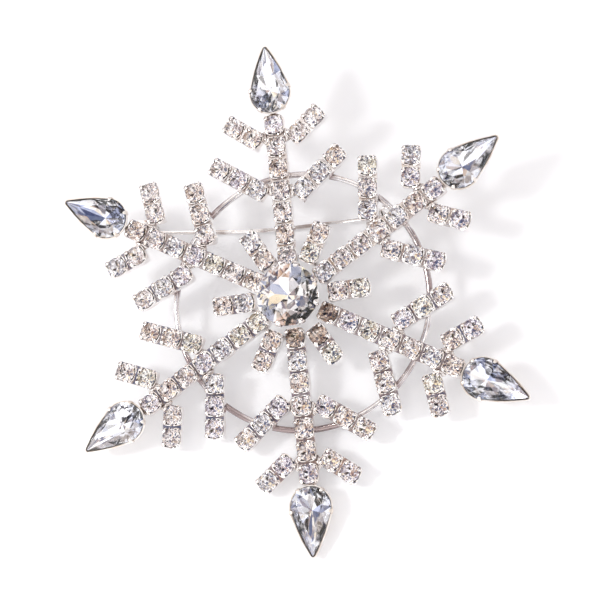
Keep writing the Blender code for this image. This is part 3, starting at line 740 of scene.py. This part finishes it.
def add_pin():
    """The pin's joint, rivet, stem, catch and lock, each riding on its own CAD body."""
    for node, finish, width, slot in (
        ("pin_joint", silver, 0.08, "silver_plate"), ("joint_rivet", steel, 0.08, "silver_plate"),
        ("catch_body", silver, 0.08, "silver_plate"), ("catch_lock", silver, 0.06, "silver_plate"),
        ("pin_stem", steel, 0.05, "pin_steel"),
    ):
        body = body_of(frame["nodes"][node])[0]
        piece = add_piece(f"{node}_metal", softened(node, width * MM), [finish], body=body, slot=slot)
        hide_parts(node)


# --- Stage ------------------------------------------------------------------------------------------
def low_point(node):
    low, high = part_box(node)
    return Vector(((low.x + high.x) / 2, (low.y + high.y) / 2, low.z))


def add_stage():
    """The floor lies just under what the brooch rests on: the pin's joint, its catch and pear 4."""
    left, right, front = low_point("pin_joint"), low_point("catch_body"), low_point("pear_setting_4")
    normal = (right - left).cross(front - left).normalized()
    normal *= 1 if normal.z > 0 else -1
    work = bmesh.new()
    corners = []
    for x, y in ((-1, -1), (1, -1), (1, 1), (-1, 1)):
        spot = Vector((x * FLOOR_SIZE, y * FLOOR_SIZE, 0))
        spot.z = left.z - FLOOR_GAP - ((spot - left).x * normal.x + (spot - left).y * normal.y) / normal.z
        corners.append(work.verts.new(spot))
    work.faces.new(corners)
    floor = bpy.data.objects.new("floor", finish_mesh("floor", work))
    bpy.context.scene.collection.objects.link(floor)
    material, tree, shader = new_material("paper")
    tint = noise_ramp(tree, 3.0, [(0.3, (0.91, 0.925, 0.95)), (0.7, (0.93, 0.945, 0.97))])
    tree.links.new(tint, shader.inputs["Base Color"])
    shader.inputs["Roughness"].default_value = 0.9
    shader.inputs["Emission Color"].default_value = (1.0, 0.99, 0.99, 1)
    shader.inputs["Emission Strength"].default_value = FLOOR_GLOW
    floor.data.materials.append(material)


def add_key():
    tilt, side = math.radians(KEY_TILT), math.radians(KEY_SIDE)
    spot = Vector((math.sin(tilt) * math.cos(side), math.sin(tilt) * math.sin(side), math.cos(tilt)))
    data = bpy.data.lights.new("key", "AREA")
    data.shape = "DISK"
    data.size = KEY_SIZE
    data.energy = KEY_POWER
    data.color = (1.0, 0.995, 0.985)
    lamp = bpy.data.objects.new("key", data)
    bpy.context.scene.collection.objects.link(lamp)
    lamp.location = spot * KEY_DISTANCE
    lamp.rotation_euler = (-spot).to_track_quat("-Z", "Y").to_euler()
    lamp.visible_camera = False


def add_room():
    """Plain white for the camera. For reflections, a pale room with darker furniture, warm edges and a dark
    horizon."""
    world = bpy.data.worlds.new("studio")
    bpy.context.scene.world = world
    world.use_nodes = True
    tree = world.node_tree
    back = tree.nodes["Background"]
    plain = tree.nodes.new("ShaderNodeBackground")
    plain.inputs["Color"].default_value = (1, 1, 1, 1)
    room = noise_ramp(tree, ROOM_SCALE, [
        (0.0, (0.06, 0.08, 0.14)), (0.41, (0.10, 0.12, 0.20)), (0.44, (0.36, 0.20, 0.15)),
        (0.46, (0.90, 0.80, 0.55)), (0.475, (0.86, 0.85, 0.85)), (0.60, (0.96, 0.95, 0.96)),
        (1.0, (1.0, 1.0, 1.02)),
    ], 1.0, "Generated")
    where = tree.nodes.new("ShaderNodeTexCoord")
    split = tree.nodes.new("ShaderNodeSeparateXYZ")
    rise = tree.nodes.new("ShaderNodeMapRange")
    rise.inputs["From Min"].default_value = HORIZON_LOW
    rise.inputs["From Max"].default_value = HORIZON_HIGH
    blend = tree.nodes.new("ShaderNodeMix")
    blend.data_type = "RGBA"
    blend.inputs[6].default_value = (0.26, 0.215, 0.20, 1)
    tree.links.new(where.outputs["Generated"], split.inputs["Vector"])
    tree.links.new(split.outputs["Z"], rise.inputs["Value"])
    tree.links.new(rise.outputs["Result"], blend.inputs[0])
    tree.links.new(room, blend.inputs[7])
    tree.links.new(blend.outputs[2], back.inputs["Color"])
    back.inputs["Strength"].default_value = ROOM_STRENGTH
    mix = tree.nodes.new("ShaderNodeMixShader")
    path = tree.nodes.new("ShaderNodeLightPath")
    tree.links.new(path.outputs["Is Camera Ray"], mix.inputs["Fac"])
    tree.links.new(back.outputs["Background"], mix.inputs[1])
    tree.links.new(plain.outputs["Background"], mix.inputs[2])
    tree.links.new(mix.outputs["Shader"], tree.nodes["World Output"].inputs["Surface"])


def add_camera():
    azimuth, elevation = math.radians(VIEW_AZIMUTH), math.radians(VIEW_ELEVATION)
    back = Vector((math.sin(azimuth) * math.cos(elevation), -math.cos(azimuth) * math.cos(elevation),
                   math.sin(elevation)))
    data = bpy.data.cameras.new("camera")
    camera = bpy.data.objects.new("camera", data)
    bpy.context.scene.collection.objects.link(camera)
    up = (Vector((0, 1, 0)) - back * back.y).normalized()
    right = up.cross(back)
    roll = math.radians(VIEW_ROLL)
    side = right * math.cos(roll) + up * math.sin(roll)
    top = back.cross(side)
    rotation = Matrix((side, top, back)).transposed().to_4x4()
    spot = back * VIEW_DISTANCE + side * VIEW_OFFSET[0] + top * VIEW_OFFSET[1]
    camera.matrix_world = Matrix.Translation(spot) @ rotation
    data.sensor_width = SENSOR_WIDTH
    data.lens = SENSOR_WIDTH * VIEW_DISTANCE / FRAME_WIDTH
    data.clip_start, data.clip_end = VIEW_CLIP
    bpy.context.scene.camera = camera


# --- Build ------------------------------------------------------------------------------------------
add_camera()
cup_rows = add_cup_rows()
add_pears()
add_centre()
add_ring()
add_solder(cup_rows)
add_pin()
add_stage()
add_key()
add_room()
bpy.context.scene.view_settings.view_transform = "Standard"
